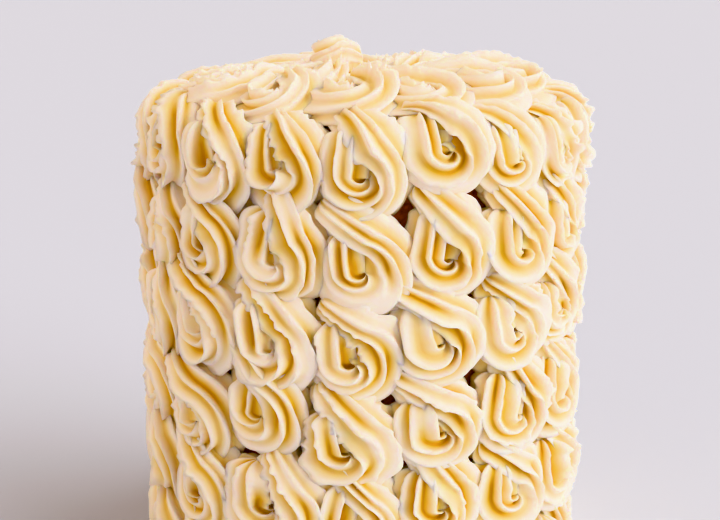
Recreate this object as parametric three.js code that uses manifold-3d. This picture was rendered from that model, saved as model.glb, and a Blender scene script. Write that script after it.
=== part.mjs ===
// A tall single-tier round cake, iced all over with piped buttercream rosettes.
// Millimetres, +Z up. The origin is the centre of the base, and -Y is the front.
// The sponge is one plain drum. The rosettes stand round it in courses and lie in rings on its top,
// and each course or ring is one solid, because its rosettes are pressed into each other.
import * as THREE from "three";
import { mergeVertices } from "three/addons/utils/BufferGeometryUtils.js";
import Module from "manifold-3d";

const wasm = await Module();
wasm.setup();
const { degToRad } = THREE.MathUtils;

// Driving dimensions.
const sponge = { radius: 76, height: 195, sides: 48 };
const gap = 0.3; // between solids that touch

// One rosette is a rope of cream laid in a spiral. It starts at the upper left of the eye, runs down
// the left, under the eye and up the right, and is pulled off in a long tail to the upper left.
const rosette = {
  tail: 110, // degrees, the azimuth of the tail about the eye
  reach: [18, 7.2, 7.1, 9.3, 10.3, 9.3, 8.5, 10.1], // eye to rope, evenly round from the tail
  eyeRadius: 1.5,
  eyeHeight: 6, // of the cream in the eye, off the surface
};

// The rope's cross-section: its height off the surface at the tail, how much lower it starts, and
// half its width at the foot and the crest.
const rope = { height: 18.5, rise: 4, foot: 9.5, crest: 5 };

// Courses round the side, from the base up, each with its count of rosettes, the azimuth of the one
// nearest the front, and how much higher the five nearest the front were piped, from left to right.
const courseHeight = { lowest: 15, pitch: 34.1 };
const courses = [
  { count: 16, turn: -2.4, lifts: [0, 0, 0, 0, 0] },
  { count: 16, turn: -2.4, lifts: [-1.8, 3.4, -4.1, 2.2, 1] },
  { count: 16, turn: -3.1, lifts: [-3, 3.5, -7.4, -1, 0.5] },
  { count: 17, turn: -2.5, lifts: [0.6, 1.9, -5.7, 2.8, 1] },
  { count: 17, turn: 0.5, lifts: [0.2, -0.6, -5, 1.2, 0] },
  { count: 18, turn: 0.3, lifts: [-1.5, 0.9, -3, 4.6, 0.2] },
];

// The top course bends in over the sponge's edge at a radius, and is squashed by a share on the way
// to the top, where the rosettes of the rim lie on it.
const shoulder = { radius: 6, squash: 0.35 };

// Rings on the top, from the rim in, each with the size and height of its rosettes as shares of those
// on the side, the depth of cream under it, and its lean outwards. A low rosette beside the tall one
// closes the middle.
const rings = [
  { name: "rosettes_rim", count: 14, radius: 61, turn: -5, size: 1, high: 1, bed: 1, lean: 14 },
  { name: "rosettes_inner", count: 7, radius: 32, turn: 12, size: 0.9, high: 1, bed: 2, lean: 8 },
  { name: "rosette_centre", count: 1, radius: 10, turn: -90, size: 0.48, high: 1.75, bed: 13, lean: 0 },
  { name: "rosette_middle", count: 1, radius: 6, turn: 90, size: 0.62, high: 1.1, bed: 2, lean: 0 },
];
const bedDepth = 12; // how far the beds are piped down into the sponge, before it is cut out of them
const overhang = 3; // how far the rim's rosettes hang down past the sponge's top
const backHeight = 0.72; // of the rosettes at the back of the top, as a share of the front ones'
const leftHeight = 0.82; // and of those at its left, as a share of the right ones'

// Unevenness of hand piping: the most that a rosette strays from its place.
const stray = { across: 1, up: 1.2, size: 0.05, turn: 10, tall: 0.14, lean: 7 };

// A repeatable draw from -1 to 1 for a rosette's number and one of its traits.
function draw(number, trait) {
  const wave = Math.sin(number * 12.9898 + trait * 78.233) * 43758.5453;
  return 2 * (wave - Math.floor(wave)) - 1;
}

// A rosette lying flat on z = 0, with its bed below. The rope's section is turned round the eye on a
// lathe at a mean reach, and each of its corners is then moved out to the rope's own reach there.
// Grown by a margin all round, it is the tool that clears room for the rosette in its neighbours.
function flatRosette(margin, bed = 0) {
  const meanReach = 20;
  const foot = meanReach + rope.foot + margin;
  const outerCrest = meanReach + rope.crest + margin;
  const innerCrest = meanReach - rope.crest - margin;
  const crestHeight = rope.height + margin;
  const section = [
    new THREE.Vector2(0, -bed),
    new THREE.Vector2(foot, -bed),
    new THREE.Vector2(outerCrest, crestHeight),
    new THREE.Vector2(innerCrest, crestHeight),
    new THREE.Vector2(0, rosette.eyeHeight + margin),
  ];
  const sides = rosette.reach.length;
  const lathe = new THREE.LatheGeometry(section, sides).rotateX(Math.PI / 2);
  const position = lathe.attributes.position;
  for (let i = 0; i < position.count; i += 1) {
    const corner = section[i % section.length];
    const side = Math.floor(i / section.length) % sides;
    const azimuth = degToRad(rosette.tail + (360 * side) / sides);
    const reach = corner.x - meanReach + rosette.reach[side];
    const radius = corner.x === 0 ? 0 : Math.max(reach, rosette.eyeRadius);
    const beforeTail = side > 0 ? (sides - side) / sides : 0;
    const drop = corner.y === crestHeight ? rope.rise * beforeTail : 0;
    position.setXYZ(i, radius * Math.cos(azimuth), radius * Math.sin(azimuth), corner.y - drop);
  }
  return weld(lathe);
}

// Sizes and turns a flat rosette about its eye, and shifts it along the surface, by its own draws.
function strayed(flat, number) {
  const size = 1 + stray.size * draw(number, 1);
  return flat
    .clone()
    .scale(size, size, size)
    .rotateZ(degToRad(stray.turn * draw(number, 2)))
    .translate(stray.across * draw(number, 3), stray.up * draw(number, 4), 0);
}

// Bends a flat rosette round the drum: across becomes azimuth, and off the surface becomes radius.
// Above the drum's edge, height becomes an angle over the rounded shoulder.
// Its flat facets cut the corner of the curve, so it stands clear by their depth and the gap.
function bentRound(flat, azimuth, height) {
  const longestFacet = Math.max(...rosette.reach) + rope.foot;
  const clearance = gap + longestFacet ** 2 / (8 * sponge.radius);
  const middle = rope.height / 2; // where widths come out at full size
  const edge = sponge.height - shoulder.radius;
  const position = flat.attributes.position;
  for (let i = 0; i < position.count; i += 1) {
    const angle = azimuth + position.getX(i) / (sponge.radius + middle);
    const along = height + position.getY(i);
    const over = Math.max(along - edge, 0) / (shoulder.radius + middle);
    const tall = 1 - (shoulder.squash * over) / (Math.PI / 2);
    const off = shoulder.radius + clearance + position.getZ(i) * tall;
    const radius = sponge.radius - shoulder.radius + off * Math.cos(over);
    const z = Math.min(along, edge) + off * Math.sin(over);
    position.setXYZ(i, radius * Math.sin(angle), -radius * Math.cos(angle), z);
  }
  return flat;
}

// Leaves a geometry with shared corners only, as a closed mesh.
function weld(geometry) {
  geometry.deleteAttribute("normal");
  geometry.deleteAttribute("uv");
  return mergeVertices(geometry, 1e-3);
}

function toSolid(geometry) {
  const mesh = new wasm.Mesh({
    numProp: 3,
    vertProperties: new Float32Array(geometry.attributes.position.array),
    triVerts: new Uint32Array(geometry.index.array),
  });
  return new wasm.Manifold(mesh);
}

function toGeometry(solid) {
  const { vertProperties, triVerts } = solid.getMesh();
  const geometry = new THREE.BufferGeometry();
  geometry.setAttribute("position", new THREE.BufferAttribute(vertProperties, 3));
  geometry.setIndex(new THREE.BufferAttribute(triVerts, 1));
  return geometry;
}

// The largest piece of a solid, tidied of slivers, without loose scraps or sealed hollows.
// It is parted as the 32-bit mesh that it ends as, where two surfaces that just touch can come apart.
function wholePiece(solid) {
  const sliver = 0.02;
  const pieces = toSolid(toGeometry(solid.simplify(sliver))).decompose();
  return pieces.sort((a, b) => b.volume() - a.volume())[0];
}

// The rosettes of one course, pressed into each other. They fill the course between them, so those
// of a course with few are wider.
function course(index, margin = 0) {
  const { count, turn, lifts } = courses[index];
  const fullest = Math.max(...courses.map((each) => each.count));
  const flat = flatRosette(margin).scale(fullest / count, 1, 1);
  const solids = [];
  for (let k = 0; k < count; k += 1) {
    const place = (k + 2) % count; // counted from the second one left of the front
    const lift = place < lifts.length ? lifts[place] : 0;
    const height = courseHeight.lowest + courseHeight.pitch * index + lift;
    const azimuth = degToRad(turn + (360 * k) / count);
    solids.push(toSolid(bentRound(strayed(flat, 100 * index + k), azimuth, height)));
  }
  return wasm.Manifold.union(solids);
}

// The rosettes of one ring on the top, each with its tail towards the middle. Their beds reach down
// through the top, so that no air is left under a leaning one.
function ring(index, margin = 0) {
  const { count, radius, turn, size, high, bed, lean } = rings[index];
  const flat = flatRosette(margin, bed + bedDepth).scale(size, size, size);
  const solids = [];
  for (let k = 0; k < count; k += 1) {
    const number = 1000 + 100 * index + k;
    const angle = degToRad(turn + (360 * k) / count);
    const outness = radius / rings[0].radius;
    const backness = ((1 - Math.cos(angle)) / 2) * outness;
    const leftness = ((1 - Math.sin(angle)) / 2) * outness;
    const slope = (1 - (1 - backHeight) * backness) * (1 - (1 - leftHeight) * leftness);
    const tall = high * slope * (1 + stray.tall * draw(number, 5));
    const piped = strayed(flat, number)
      .scale(1, 1, tall)
      .rotateX(degToRad(lean + stray.lean * draw(number, 6)))
      .translate(0, -radius, sponge.height + gap + bed)
      .rotateZ(angle);
    solids.push(toSolid(piped));
  }
  return wasm.Manifold.union(solids);
}

// A block wider and higher than the whole cake, from the given height up.
function blockAbove(height) {
  const size = 3 * sponge.height;
  const block = new THREE.BoxGeometry(size, size, size);
  return toSolid(weld(block.translate(0, 0, height + size / 2)));
}

const crumb = new THREE.MeshStandardMaterial({ color: "#3b1a0b", roughness: 0.95, metalness: 0 });
const cream = new THREE.MeshStandardMaterial({ color: "#f1e3c6", roughness: 0.5, metalness: 0 });

// The sponge's drum, grown by a margin where it is a tool that clears the cream off it.
function drum(margin = 0) {
  const radius = sponge.radius + margin;
  const height = sponge.height + 2 * margin;
  const upright = new THREE.CylinderGeometry(radius, radius, height, sponge.sides);
  return upright.rotateX(Math.PI / 2).translate(0, 0, sponge.height / 2);
}

function named(name, geometry, material) {
  const mesh = new THREE.Mesh(geometry, material);
  mesh.name = name;
  return mesh;
}

// The sponge with a gap round it, which is cut out of the cream.
const spongeRoom = toSolid(weld(drum(gap)));

// Each ring makes room for those before it.
function topRosettes() {
  const block = blockAbove(sponge.height - overhang);
  return rings.map(({ name }, index) => {
    let solid = ring(index).intersect(block).subtract(spongeRoom);
    for (let before = 0; before < index; before += 1) {
      solid = solid.subtract(ring(before, gap));
    }
    return named(name, toGeometry(wholePiece(solid)), cream);
  });
}

// Each course makes room for the one below it, which was piped over its lower edge, and the top one
// for the rosettes that hang over the rim. The lowest is squashed flat at the base.
function sideRosettes() {
  const block = blockAbove(0);
  const top = courses.length - 1;
  const rim = ring(0, gap).intersect(blockAbove(sponge.height - overhang - gap));
  return courses.map((_, index) => {
    let solid = course(index).intersect(block);
    if (index > 0) {
      solid = solid.subtract(course(index - 1, gap));
    }
    if (index === top) {
      solid = solid.subtract(rim).subtract(spongeRoom);
    }
    return named(`rosettes_course_${index + 1}`, toGeometry(wholePiece(solid)), cream);
  });
}

const cake = new THREE.Group();
cake.add(named("sponge", drum(), crumb), ...sideRosettes(), ...topRosettes());

export default cake;
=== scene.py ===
import bpy
import numpy as np
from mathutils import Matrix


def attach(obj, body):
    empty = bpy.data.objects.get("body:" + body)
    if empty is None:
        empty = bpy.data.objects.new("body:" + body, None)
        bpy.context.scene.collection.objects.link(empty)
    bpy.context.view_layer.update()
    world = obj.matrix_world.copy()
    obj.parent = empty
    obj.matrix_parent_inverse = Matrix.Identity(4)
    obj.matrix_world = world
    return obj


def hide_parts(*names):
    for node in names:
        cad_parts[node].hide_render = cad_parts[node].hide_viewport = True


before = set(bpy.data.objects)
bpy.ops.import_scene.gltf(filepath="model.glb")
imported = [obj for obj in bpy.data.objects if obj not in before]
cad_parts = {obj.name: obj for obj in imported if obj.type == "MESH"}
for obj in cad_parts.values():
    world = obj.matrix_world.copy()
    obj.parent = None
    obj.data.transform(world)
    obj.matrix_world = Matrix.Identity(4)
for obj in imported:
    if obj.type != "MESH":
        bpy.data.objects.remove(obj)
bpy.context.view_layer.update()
mm = 0.001

# The cake's plan, the same as the part's own: where every rosette sits, and how far it strays from there.
cake = {
    "seed": 12,  # of the sponge's crumb and of the cream's own unevenness
    "spongeRadius": 76,
    "spongeHeight": 195,
    "lowestCourse": 15,  # height of the lowest rosettes' eyes
    "coursePitch": 34.1,
    # from the base up: rosettes, turn, and how much higher the ones at the front were piped, from the left
    "courses": [
        (16, -2.4, (0, 0, 0, 0, 0)),
        (16, -2.4, (-1.8, 3.4, -4.1, 2.2, 1)),
        (16, -3.1, (-3, 3.5, -7.4, -1, 0.5)),
        (17, -2.5, (0.6, 1.9, -5.7, 2.8, 1)),
        (17, 0.5, (0.2, -0.6, -5, 1.2, 0)),
        (18, 0.3, (-1.5, 0.9, -3, 4.6, 0.2)),
    ],
    # from the rim in: node, rosettes, ring radius, turn, size, height, bed of cream below, and outward lean
    "rings": [
        ("rosettes_rim", 14, 61, -5, 1, 1, 1, 14),
        ("rosettes_inner", 7, 32, 12, 0.9, 1, 2, 8),
        ("rosette_centre", 1, 10, -90, 0.48, 1.75, 13, 0),
        ("rosette_middle", 1, 6, 90, 0.62, 1.1, 2, 0),
    ],
    "leftOfFront": 2,  # how many of those at the front stand left of the middle one
    "backHeight": 0.72,  # of the rosettes at the back of the top, as a share of the front ones'
    "leftHeight": 0.82,  # of those at the left of the top, as a share of the right ones'
    "shoulder": 6,  # the top course bends in over the sponge's edge round this radius
    "squash": 0.35,  # and is thinner by this share when it reaches the top
    "softWall": 3,  # cream that would sink into the sponge's wall is squashed into this depth
    "softBase": 4,  # the same on the cake's flat base
    "softTop": 3,  # and on its top
    "droop": 0.05,  # the rim's rosettes may sink past the edge by this times the distance squared
    "strayAcross": 1,
    "strayUp": 1.2,
    "straySize": 0.05,
    "strayTurn": 10,
    "strayTall": 0.14,  # of the height of the rosettes on the top
    "strayLean": 7,
    "courseNumber": 100,  # rosettes are numbered for their draws, in each course from a hundred of its own
    "ringNumber": 1000,  # and in the rings from a thousand
}

# The rope of cream that an open star nozzle lays for one rosette, about the rosette's eye.
# It runs down the left of the eye, turns under it and up its right, and is pulled off in a tail to the
# upper left. Each pair that strays gives how far, and over about how many steps along the rope.
rope = {
    "start": (-5.5, 13.5),
    "heading": 262,
    "arcs": [(115, 8), (7.6, 172), (15, 50)],  # bend radius, and the angle turned through
    "tail": 20,
    "straight": 40,  # bend radius that the tail counts as
    "radius": 9.6,  # to the crests of the ridges
    "lobes": 9,
    "ridge": 1.1,  # how round the ridges are: 1 is a sharp crest, and 2 is as round as the groove
    "groove": 0.46,  # depth of the grooves, as a share of the radius
    "wind": 0.5,  # how far the ridges wind over the rope, as a share of its turning
    "phase": 15,
    "foot": 0.42,  # how much wider it is squashed where it lies on the cake
    "footTop": 0.3,  # the height over its middle where that starts, as a share of the radius
    "press": 6,  # how hard the inner side is pressed together in a tight bend
    "height": 9,  # of the rope's middle off the surface
    "rise": 3,  # how much higher it is at the end than at the start
    "tailLift": 1.5,  # more height where the tail crosses the start
    "crossing": (0.85, 0.13),  # where that is, and how long, as shares of the rope's length
    "startLength": 5,  # over which the rope swells from nothing
    "endLength": 20,  # over which it thins as it is pulled off
    "endSize": 0.7,
    "endDrop": 0.6,
    "tipLength": 3,  # over which it closes
    "unevenBend": 0.08,  # from one rosette to the next, of each bend's radius
    "unevenTail": 2.5,
    "unevenHeading": 7,  # of the tail
    "lumps": (0.4, 4),
    "strayLobe": (6, 30),  # degrees that a ridge strays round the rope
    "strayCrest": (0.12, 25),  # of a ridge's height, as a share
    "strayGroove": (0.28, 16),  # of a groove's depth, about the share below
    "evenGroove": 0.92,
    "leastGroove": 0.25,
    "mostGroove": 1.2,
    "closing": 0.8,  # how soon the grooves close towards the foot
    "tearing": (1, 14),  # how a crest's tears come and go
    "leastTorn": 0.1,
    "mostTorn": 2,
    "longestTear": 1.8,
    "tidiness": 1.2,  # above 1, more of the rosettes are piped without tears
    "steps": 84,  # stars along the rope
    "finer": 20,  # parts that each step is summed in
}

# How deep the grooves still are at the foot, the height about which they close on a rope of radius 1,
# how torn the crests are, and how strong the amber painted shade in the grooves is. On the top the cream
# sags and they close more, and less painted shade shows.
onSide = {"lowGroove": 0.4, "smooth": 0, "tears": 1.25, "shade": 0.95}
onTop = {"lowGroove": 0.35, "smooth": 0.15, "tears": 1.2, "shade": 0.7}

# Painted shade: the cream is coloured amber where shade and warm light bounced off the cream fall: in the
# grooves, low down against the sponge, and in the eye.
paintedShading = {
    "grooveCurve": 1.3,  # above 1, it keeps the painted shade to the bottom of the grooves
    "lowBelow": 14,  # height off the sponge
    "lowShare": 0.85,
    "eyeRadius": 5,
    "eyeShare": 0.4,
    "ends": 0.5,  # painted shade at the two tips of the rope
}

# Each trait that a rosette draws for itself has a number of its own.
traits = {"size": 1, "turn": 2, "across": 3, "up": 4, "tall": 5, "lean": 6}


def draw(number, trait):
    # the part's own repeatable draw from -1 to 1: twice the fraction of a large sine, less one
    numberStep, traitStep, largest = 12.9898, 78.233, 43758.5453
    wave = np.sin(number * numberStep + traits[trait] * traitStep) * largest
    return 2 * (wave - np.floor(wave)) - 1


def toLinear(code):
    # sRGB hex to linear: c / 12.92 where dark, ((c + 0.055) / 1.055) ^ 2.4 elsewhere
    c = np.array([int(code[i : i + 2], 16) for i in (1, 3, 5)]) / 255
    linear = np.where(c <= 0.04045, c / 12.92, ((c + 0.055) / 1.055) ** 2.4)
    return (*linear.tolist(), 1)


def addNode(tree, kind, settings={}, inputs={}, stops=()):
    # an input is a value, or the socket of another node that feeds it, and a stop is a place and its colour
    node = tree.nodes.new(kind)
    for name, value in settings.items():
        setattr(node, name, value)
    for name, value in inputs.items():
        if isinstance(value, bpy.types.NodeSocket):
            tree.links.new(value, node.inputs[name])
        else:
            node.inputs[name].default_value = value
    for number, (position, colour) in enumerate(stops):
        elements = node.color_ramp.elements
        element = elements[number] if number < len(elements) else elements.new(position)
        element.position = position
        element.color = toLinear(colour)
    return node


def newMaterial(name):
    # an empty material, ready for its nodes
    material = bpy.data.materials.new(name)
    material.use_nodes = True
    material.node_tree.nodes.clear()
    return material


def ropePath(rng):
    # heading = first + what each arc has turned through, in proportion to the length gone along it
    # place = start + the running sum of the heading's cosine and sine
    radii, angles = np.array(rope["arcs"], float).T
    radii = radii * (1 + rope["unevenBend"] * rng.normal(size=len(radii)))
    angles = angles + [0, 0, rope["unevenHeading"] * rng.normal()]
    tail = rope["tail"] + rope["unevenTail"] * rng.normal()
    ends = np.concatenate([[0], np.cumsum(np.append(radii * np.radians(angles), tail))])
    turned = np.concatenate([[0], np.cumsum(angles), [np.sum(angles)]])  # the tail runs straight on
    finer = rope["finer"]
    fine = np.linspace(0, ends[-1], finer * (rope["steps"] - 1) + 1)
    heading = np.radians(rope["heading"] + np.interp(fine, ends, turned))
    x = rope["start"][0] + np.concatenate([[0], np.cumsum(np.cos(heading[:-1])) * fine[1]])
    y = rope["start"][1] + np.concatenate([[0], np.cumsum(np.sin(heading[:-1])) * fine[1]])
    middles = (ends[:-1] + ends[1:]) / 2
    bend = np.interp(fine, middles, np.append(radii, rope["straight"]))
    return fine[::finer], x[::finer], y[::finer], heading[::finer], bend[::finer]


# Seven points to a lobe, as shares of the way from its crest to the next, closer together near the crest.
lobePoints = np.array([0, 0.11, 0.24, 0.4, 0.6, 0.76, 0.89])
around = (np.arange(rope["lobes"])[:, None] + lobePoints).ravel()


def betweenLobes(values):
    # a value for each lobe, carried in a straight line from one crest to the next
    share = np.tile(lobePoints, rope["lobes"])
    lobe = np.repeat(np.arange(rope["lobes"]), len(lobePoints))
    return values[..., lobe] * (1 - share) + values[..., (lobe + 1) % rope["lobes"]] * share


def wander(rng, stray, rows, columns):
    # amount * random heights a spacing apart down the rows, with a cosine curve between them
    amount, spacing = stray
    spare = 3  # heights past the end, for the last step to lie between
    knots = rng.normal(size=(int(rows / spacing) + spare, columns))
    at = np.arange(rows) / spacing + rng.random()
    low = np.floor(at).astype(int)
    share = ((1 - np.cos(np.pi * (at - low))) / 2)[:, None]
    return amount * (knots[low] * (1 - share) + knots[low + 1] * share)


def quarterRound(distance, length):
    # 0 to 1 along a quarter of a circle: the root of 1 - (1 - distance / length)^2
    return np.sqrt(1 - (1 - np.clip(distance / length, 0, 1)) ** 2)


def tears(rng, across, surface):
    # how far each crest is torn up or down, at most the longest tear: longest * tanh(tear / longest)
    steps, lobes, longest = rope["steps"], rope["lobes"], rope["longestTear"]
    growth = wander(rng, rope["tearing"], steps, lobes) + across[:, None]
    growth = np.clip(growth, rope["leastTorn"], rope["mostTorn"])
    torn = rng.normal(size=(steps, lobes))
    torn = (np.roll(torn, 1, axis=0) + 2 * torn + np.roll(torn, -1, axis=0)) / 3
    torn = torn * growth * surface["tears"] * rng.random() ** rope["tidiness"]
    return longest * np.tanh(torn / longest)


def pipeRope(rng, surface):
    # a star's outline carried along the path: place + radius * (cos(turn) across + sin(turn) up)
    # its ridges follow the nozzle's bearing in part, so they wind over the rope as the path bends
    # beside its points it gives how much painted shade the cream gets at each, from 0 on a crest to 1 in a
    # hollow
    length, x, y, heading, bend = ropePath(rng)
    steps, lobes = rope["steps"], rope["lobes"]
    across = length / length[-1]
    left = length[-1] - length
    swell = quarterRound(length, rope["startLength"])
    tip = quarterRound(left, rope["tipLength"])
    pull = np.clip(left / rope["endLength"], 0, 1)
    size = swell * tip * (rope["endSize"] + (1 - rope["endSize"]) * pull)
    where, long = rope["crossing"]
    hump = np.exp(-(((across - where) / long) ** 2))
    lift = rope["height"] + rope["rise"] * (across - 0.5) + rope["tailLift"] * hump
    lift = lift * (rope["endDrop"] + (1 - rope["endDrop"]) * pull)

    # the star: its radius falls from a crest into a groove by |sin(pi * share)|^ridge, less deep low down
    strays = wander(rng, rope["strayLobe"], steps, lobes)
    turn = np.radians(360 / lobes * around + betweenLobes(strays) + rope["phase"])
    turn = turn + rope["wind"] * heading[:, None]
    upward = np.clip(0.5 + rope["closing"] * (np.sin(turn) - surface["smooth"]), 0, 1)
    cut = rope["evenGroove"] + wander(rng, rope["strayGroove"], steps, lobes)
    cut = np.clip(cut, rope["leastGroove"], rope["mostGroove"])
    groove = np.abs(np.sin(np.pi * around)) ** rope["ridge"]
    depth = groove * np.repeat(cut, len(lobePoints), axis=1)
    depth = depth * (surface["lowGroove"] + (1 - surface["lowGroove"]) * upward)
    torn = betweenLobes(tears(rng, across, surface)) * (1 - groove) ** 2
    tallness = 1 + wander(rng, rope["strayCrest"], steps, lobes)
    radius = rope["radius"] * betweenLobes(tallness) * (1 - rope["groove"] * depth)
    lumps = wander(rng, rope["lumps"], steps, len(around))
    lumps = (lumps + np.roll(lumps, 1, axis=1) + np.roll(lumps, 2, axis=1)) / 3
    radius = (radius + torn + lumps) * size[:, None]

    # its foot spreads by 1 + foot * (footTop - up / radius)
    # its inner side is pressed together in a tight bend: side / (1 + (side / bend)^press)^(1 / press)
    side = radius * np.cos(turn)
    up = radius * np.sin(turn)
    side = side * (1 + rope["foot"] * np.clip(rope["footTop"] - up / rope["radius"], 0, 1))
    room = bend[:, None]
    pressed = side / (1 + (np.abs(side) / room) ** rope["press"]) ** (1 / rope["press"])
    side = np.where(side < 0, pressed, side)
    px = x[:, None] + side * np.sin(heading)[:, None]
    py = y[:, None] - side * np.cos(heading)[:, None]
    pz = lift[:, None] + up

    # painted shade = shade * (depth^grooveCurve + lowShare * low^2 + eyeShare * exp(-(distance /
    # eyeRadius)^2)): amber in the grooves, low down and in the eye
    low = np.clip(1 - pz / paintedShading["lowBelow"], 0, 1)
    inEye = np.exp(-(px**2 + py**2) / paintedShading["eyeRadius"] ** 2)
    paintedShade = depth ** paintedShading["grooveCurve"]
    paintedShade = paintedShade + paintedShading["lowShare"] * low**2 + paintedShading["eyeShare"] * inEye
    paintedShade = np.clip(surface["shade"] * paintedShade, 0, 1)
    grid = np.stack([px, py, pz], axis=-1).reshape(-1, 3)
    ends = np.array([[x[0], y[0], lift[0]], [x[-1], y[-1], lift[-1]]])
    return np.concatenate([grid, ends]), np.append(paintedShade, np.full(len(ends), paintedShading["ends"]))


def closedFaces(rows, sides, turnedOver=False):
    # on a grid that closes on itself: four-sided faces from (row, side) to the next row, the next side and
    # back, and a fan of triangles to the pole at either end
    row, side = np.meshgrid(np.arange(rows - 1), np.arange(sides), indexing="ij")
    here, above = row * sides, (row + 1) * sides
    nextSide = (side + 1) % sides
    quads = np.stack([here + side, above + side, above + nextSide, here + nextSide], axis=-1).reshape(-1, 4)
    ring = np.arange(sides)
    nextRing = (ring + 1) % sides
    last = (rows - 1) * sides
    startPole = np.full(sides, rows * sides)
    startFan = np.stack([startPole, ring, nextRing], axis=-1)
    endFan = np.stack([startPole + 1, last + nextRing, last + ring], axis=-1)
    fans = np.concatenate([startFan, endFan])
    if turnedOver:
        return quads[:, [0, 3, 2, 1]], fans[:, [0, 2, 1]]
    return quads, fans


def softFloor(value, floor, soft):
    # what comes closer to the floor than soft is squashed: floor + soft * exp((over - soft) / soft)
    over = value - floor
    return floor + np.where(over < soft, soft * np.exp(np.minimum(over - soft, 0) / soft), over)


def buildMesh(name, points, quads, triangles, paintedShade, material):
    # the arrays go straight into a mesh, and each point's painted shade becomes the attribute the cream
    # reads
    corners = np.concatenate([quads.ravel(), triangles.ravel()]).astype(np.int32)
    sizes = np.concatenate([np.full(len(quads), 4), np.full(len(triangles), 3)]).astype(np.int32)
    mesh = bpy.data.meshes.new(name)
    mesh.vertices.add(len(points))
    mesh.vertices.foreach_set("co", (points * mm).astype(np.float32).ravel())
    mesh.loops.add(len(corners))
    mesh.loops.foreach_set("vertex_index", corners)
    mesh.polygons.add(len(sizes))
    mesh.polygons.foreach_set("loop_start", np.cumsum(sizes, dtype=np.int32) - sizes)
    mesh.update(calc_edges=True)
    mesh.shade_smooth()
    attribute = mesh.attributes.new("paintedGrooveShade", "FLOAT", "POINT")
    attribute.data.foreach_set("value", paintedShade.astype(np.float32))
    mesh.materials.append(material)
    piece = bpy.data.objects.new(name, mesh)
    bpy.context.scene.collection.objects.link(piece)
    return piece


def strayed(points, number):
    # the part's own unevenness: sized, turned about the eye and shifted along the surface
    size = 1 + cake["straySize"] * draw(number, "size")
    turn = np.radians(cake["strayTurn"] * draw(number, "turn"))
    x, y, z = (points * size).T
    return np.stack([
        x * np.cos(turn) - y * np.sin(turn) + cake["strayAcross"] * draw(number, "across"),
        x * np.sin(turn) + y * np.cos(turn) + cake["strayUp"] * draw(number, "up"),
        z,
    ], axis=-1)


def bentRound(points, azimuth, height):
    # across becomes azimuth, and off the surface becomes radius: (r sin a, -r cos a, height + y)
    # above the edge, height becomes an angle over the rounded shoulder: corner + (off + bend) (cos, sin)
    middle = rope["height"]
    bend = cake["shoulder"]
    edge = cake["spongeHeight"] - bend
    along = height + points[:, 1]
    over = np.clip(along - edge, 0, None) / (bend + middle)
    off = bend + points[:, 2] * (1 - cake["squash"] * over / (np.pi / 2))
    radius = cake["spongeRadius"] - bend + off * np.cos(over)
    z = np.minimum(along, edge) + off * np.sin(over)
    angle = azimuth + points[:, 0] / (cake["spongeRadius"] + middle)
    return np.stack([radius * np.sin(angle), -radius * np.cos(angle), z], axis=-1)


def joinRosettes(name, ropes, paintedShades, node, material):
    # all the ropes as one piece: each has the same faces, a rope's count of points further on
    quads, triangles = closedFaces(rope["steps"], len(around))
    offsets = np.arange(len(ropes))[:, None, None] * len(ropes[0])
    piece = buildMesh(
        name,
        np.concatenate(ropes),
        (quads[None] + offsets).reshape(-1, 4),
        (triangles[None] + offsets).reshape(-1, 3),
        np.concatenate(paintedShades),
        material,
    )
    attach(piece, "root")
    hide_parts(node)


def pipeCourse(index, material, rng):
    # rosettes side by side round the wall, at turn + 360 * k / count
    count, turn, lifts = cake["courses"][index]
    fullest = max(course[0] for course in cake["courses"])
    # beside the points, each rope's painted shade
    ropes, paintedShades = [], []
    for k in range(count):
        place = (k + cake["leftOfFront"]) % count
        lift = lifts[place] if place < len(lifts) else 0
        height = cake["lowestCourse"] + cake["coursePitch"] * index + lift
        points, paintedShade = pipeRope(rng, onSide)
        points[:, 0] *= fullest / count  # the rosettes of a course fill it between them
        points = strayed(points, cake["courseNumber"] * index + k)
        points[:, 2] = softFloor(points[:, 2], 0, cake["softWall"])
        points = bentRound(points, np.radians(turn + 360 * k / count), height)
        points[:, 2] = softFloor(points[:, 2], 0, cake["softBase"])
        ropes.append(points)
        paintedShades.append(paintedShade)
    joinRosettes(f"cream_course_{index + 1}", ropes, paintedShades, f"rosettes_course_{index + 1}", material)


def pipeRing(index, material, rng):
    # rosettes round the top, leaning out by the tilt, at turn + 360 * k / count
    # their height falls with (1 - cos) / 2 of that angle towards the back, and (1 - sin) / 2 to the left,
    # the more so the nearer they are to the rim
    node, count, radius, turn, size, height, bed, lean = cake["rings"][index]
    rimRadius = cake["rings"][0][2]
    # beside the points, each rope's painted shade
    ropes, paintedShades = [], []
    for k in range(count):
        number = cake["ringNumber"] + cake["courseNumber"] * index + k
        points, paintedShade = pipeRope(rng, onTop)
        x, y, z = strayed(points * size, number).T
        angle = np.radians(turn + 360 * k / count)
        outness = radius / rimRadius
        tall = height * (1 - (1 - cake["backHeight"]) * (1 - np.cos(angle)) / 2 * outness)
        tall = tall * (1 - (1 - cake["leftHeight"]) * (1 - np.sin(angle)) / 2 * outness)
        z = z * tall * (1 + cake["strayTall"] * draw(number, "tall"))
        tilt = np.radians(lean + cake["strayLean"] * draw(number, "lean"))
        out = radius - y * np.cos(tilt) + z * np.sin(tilt)
        up = bed + y * np.sin(tilt) + z * np.cos(tilt)
        pastEdge = np.clip(np.hypot(out, x) - cake["spongeRadius"], 0, None)
        up = softFloor(up, -cake["droop"] * pastEdge**2, cake["softTop"])
        points = np.stack([
            x * np.cos(angle) + out * np.sin(angle),
            x * np.sin(angle) - out * np.cos(angle),
            cake["spongeHeight"] + up,
        ], axis=-1)
        ropes.append(points)
        paintedShades.append(paintedShade)
    joinRosettes(node.replace("rosette", "cream"), ropes, paintedShades, node, material)


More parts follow.
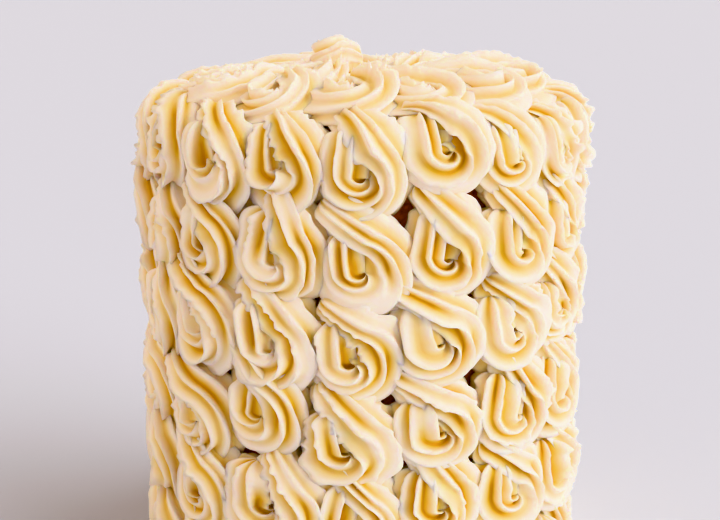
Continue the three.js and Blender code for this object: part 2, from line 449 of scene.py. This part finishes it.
# Whipped buttercream: fat and sugar, so it has a soft satin shine and lets light into its thin crests.
cream = {
    # from the crests to the hollows: how much painted shade from 0 to 1, and the colour there, ivory on the
    # crests and amber to brown as painted shade deeper in
    "colours": [(0.2, "#faede3"), (0.53, "#f1dba0"), (0.88, "#e3b942"), (1, "#d39c30")],
    "roughness": 0.5,
    "ior": 1.46,  # butter fat
    "shine": 0.12,
    "throughShare": 0.5,  # of the light goes into the cream before it comes out
    "throughReach": 3,  # how far it wanders there
    "throughColours": (1, 0.65, 0.2),  # red wanders furthest
    "pitSize": 0.9,  # of the small bubbles of air
    "pitDepth": 0.4,
    "pitStrength": 0.35,
    "pitDetail": 3,
    "pitRoughness": 0.6,
}


def creamMaterial():
    # the colour follows the piping, from ivory crests to amber painted shade in the hollows, under fine pits
    material = newMaterial("whipped buttercream")
    tree = material.node_tree
    paintedShade = addNode(tree, "ShaderNodeAttribute", {"attribute_name": "paintedGrooveShade"})
    ramp = addNode(tree, "ShaderNodeValToRGB", {}, {"Fac": paintedShade.outputs["Fac"]}, cream["colours"])
    place = addNode(tree, "ShaderNodeTexCoord").outputs["Object"]
    pits = addNode(tree, "ShaderNodeTexNoise", {}, {
        "Vector": place,
        "Scale": 1 / (2 * cream["pitSize"] * mm),  # a pit and the ridge beside it for each step of the noise
        "Detail": cream["pitDetail"],
        "Roughness": cream["pitRoughness"],
    })
    bump = addNode(tree, "ShaderNodeBump", {}, {
        "Height": pits.outputs["Fac"],
        "Strength": cream["pitStrength"],
        "Distance": cream["pitDepth"] * mm,
    })
    shader = addNode(tree, "ShaderNodeBsdfPrincipled", {}, {
        "Base Color": ramp.outputs["Color"],
        "Roughness": cream["roughness"],
        "IOR": cream["ior"],
        "Specular IOR Level": cream["shine"],
        "Subsurface Weight": cream["throughShare"],
        "Subsurface Radius": cream["throughColours"],
        "Subsurface Scale": cream["throughReach"] * mm,
        "Normal": bump.outputs["Normal"],
    })
    addNode(tree, "ShaderNodeOutputMaterial", {}, {"Surface": shader.outputs["BSDF"]})
    return material


# Chocolate sponge: baked foam, so it is matt and broken up by small holes, painted dark as shade.
sponge = {
    "colours": [(0.35, "#7c3210"), (0.6, "#c45e22")],  # from hole, painted dark as shade, to crumb
    "roughness": 0.95,
    "ior": 1.45,
    "shine": 0.1,
    "crumbSize": 1.6,
    "crumbDepth": 0.8,
    "crumbStrength": 0.8,
    "crumbDetail": 4,
    "crumbRoughness": 0.65,
    "relief": 0.5,
    "sides": 360,
    "wallRows": 140,
    "flatRows": 24,
    "middle": 4,  # radius of the innermost ring of faces
}


def spongeMaterial():
    # the crumb's own tone and the painted shade in its holes from one noise, which is its relief as well
    material = newMaterial("chocolate sponge crumb")
    tree = material.node_tree
    place = addNode(tree, "ShaderNodeTexCoord").outputs["Object"]
    crumbs = addNode(tree, "ShaderNodeTexNoise", {}, {
        "Vector": place,
        "Scale": 1 / (2 * sponge["crumbSize"] * mm),  # a hole and the crumb beside it for each step
        "Detail": sponge["crumbDetail"],
        "Roughness": sponge["crumbRoughness"],
    })
    ramp = addNode(tree, "ShaderNodeValToRGB", {}, {"Fac": crumbs.outputs["Fac"]}, sponge["colours"])
    bump = addNode(tree, "ShaderNodeBump", {}, {
        "Height": crumbs.outputs["Fac"],
        "Strength": sponge["crumbStrength"],
        "Distance": sponge["crumbDepth"] * mm,
    })
    shader = addNode(tree, "ShaderNodeBsdfPrincipled", {}, {
        "Base Color": ramp.outputs["Color"],
        "Roughness": sponge["roughness"],
        "IOR": sponge["ior"],
        "Specular IOR Level": sponge["shine"],
        "Normal": bump.outputs["Normal"],
    })
    addNode(tree, "ShaderNodeOutputMaterial", {}, {"Surface": shader.outputs["BSDF"]})
    return material


def bakeSponge(material, rng):
    # a profile from the base's middle up the wall to the top's middle, turned round the axis:
    # (r sin a, -r cos a, z), and on the wall the crumb is relief: r = radius - relief * |noise|
    radius, height, sides = cake["spongeRadius"], cake["spongeHeight"], sponge["sides"]
    wall = np.linspace(0, height, sponge["wallRows"])
    flat = np.linspace(sponge["middle"], radius, sponge["flatRows"], endpoint=False)
    profileR = np.concatenate([flat, np.full(len(wall), radius), flat[::-1]])
    profileZ = np.concatenate([np.zeros(len(flat)), wall, np.full(len(flat), height)])
    angle = np.arange(sides) / sides * 2 * np.pi
    crumb = rng.normal(size=(len(profileR), sides))
    crumb = (crumb + np.roll(crumb, 1, axis=1) + np.roll(crumb, 1, axis=0)) / 3
    onWall = (profileZ > 0) & (profileZ < height)
    r = profileR[:, None] + np.where(onWall, -sponge["relief"], 0)[:, None] * np.abs(crumb)
    z = np.broadcast_to(profileZ[:, None], r.shape)
    grid = np.stack([r * np.sin(angle), -r * np.cos(angle), z], axis=-1).reshape(-1, 3)
    poles = np.array([[0, 0, 0], [0, 0, height]], float)
    points = np.concatenate([grid, poles])
    quads, triangles = closedFaces(len(profileR), sides, turnedOver=True)
    piece = buildMesh("sponge_crumb", points, quads, triangles, np.zeros(len(points)), material)
    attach(piece, "root")
    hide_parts("sponge")


# A plain pale surface in a warm pale room, with a low window at the right and a faint reflector at the left.
studio = {
    "floor": "#b8bbce",
    "floorRoughness": 0.9,
    "floorShine": 0.1,
    "floorRadius": 60000,  # far enough for its edge to pass for a horizon
    "floorSides": 96,
    "lens": 69.5,
    "cameraSide": -1.2,
    "cameraDistance": 580,
    "cameraHeight": 271,
    "cameraDown": 13.9,  # how far it looks down
    "tone": "Khronos PBR Neutral",  # it keeps pale colours true
    "room": "#ffeed8",
    "roomStrength": 0.74,
    # name, colour, strength, softness, elevation, and azimuth from the front towards the right
    "lights": [
        ("window", "#fcfff8", 8.6, 95, 9, 85),
        ("reflector", "#ffd8ac", 1.35, 130, 0, -82),
    ],
}


def paintMaterial():
    # a board painted matt: no pattern and hardly a shine, so that only the cake's shadow shows on it
    material = newMaterial("matt painted board")
    shader = addNode(material.node_tree, "ShaderNodeBsdfPrincipled", {}, {
        "Base Color": toLinear(studio["floor"]),
        "Roughness": studio["floorRoughness"],
        "Specular IOR Level": studio["floorShine"],
    })
    addNode(material.node_tree, "ShaderNodeOutputMaterial", {}, {"Surface": shader.outputs["BSDF"]})
    return material


def layFloor():
    # one flat round face, with its rim at radius * (cos a, sin a)
    sides = studio["floorSides"]
    angle = np.arange(sides) / sides * 2 * np.pi
    radius = studio["floorRadius"] * mm
    rim = np.stack([radius * np.cos(angle), radius * np.sin(angle), np.zeros(sides)], axis=-1)
    mesh = bpy.data.meshes.new("floor")
    mesh.from_pydata(rim.tolist(), [], [list(range(sides))])
    mesh.materials.append(paintMaterial())
    floor = bpy.data.objects.new("floor", mesh)
    bpy.context.scene.collection.objects.link(floor)


def lightRoom():
    # an even room all round, and each light as a broad sun that shines from its elevation and azimuth
    world = bpy.data.worlds.new("room")
    bpy.context.scene.world = world
    world.use_nodes = True
    world.node_tree.nodes.clear()
    sky = addNode(world.node_tree, "ShaderNodeBackground", {}, {
        "Color": toLinear(studio["room"]), "Strength": studio["roomStrength"],
    })
    addNode(world.node_tree, "ShaderNodeOutputWorld", {}, {"Surface": sky.outputs["Background"]})

    for name, colour, strength, softness, elevation, azimuth in studio["lights"]:
        sun = bpy.data.lights.new(name, "SUN")
        sun.energy = strength
        sun.angle = np.radians(softness)
        sun.color = toLinear(colour)[:3]
        light = bpy.data.objects.new(name, sun)
        light.rotation_euler = (np.radians(90 - elevation), 0, np.radians(azimuth))
        bpy.context.scene.collection.objects.link(light)


def placeCamera():
    # in front of the cake and above it, looking down along +Y
    camera = bpy.data.objects.new("camera", bpy.data.cameras.new("camera"))
    camera.data.lens = studio["lens"]
    place = (studio["cameraSide"], -studio["cameraDistance"], studio["cameraHeight"])
    camera.location = [value * mm for value in place]
    camera.rotation_euler = (np.radians(90 - studio["cameraDown"]), 0, 0)
    bpy.context.scene.collection.objects.link(camera)
    bpy.context.scene.camera = camera
    bpy.context.scene.view_settings.view_transform = studio["tone"]


rng = np.random.default_rng(cake["seed"])
buttercream = creamMaterial()
bakeSponge(spongeMaterial(), rng)
print("sponge baked")
for course in range(len(cake["courses"])):
    pipeCourse(course, buttercream, rng)
    print("piped course", course + 1)
for ring in range(len(cake["rings"])):
    pipeRing(ring, buttercream, rng)
    print("piped ring", ring + 1)
layFloor()
lightRoom()
placeCamera()
print("studio set")
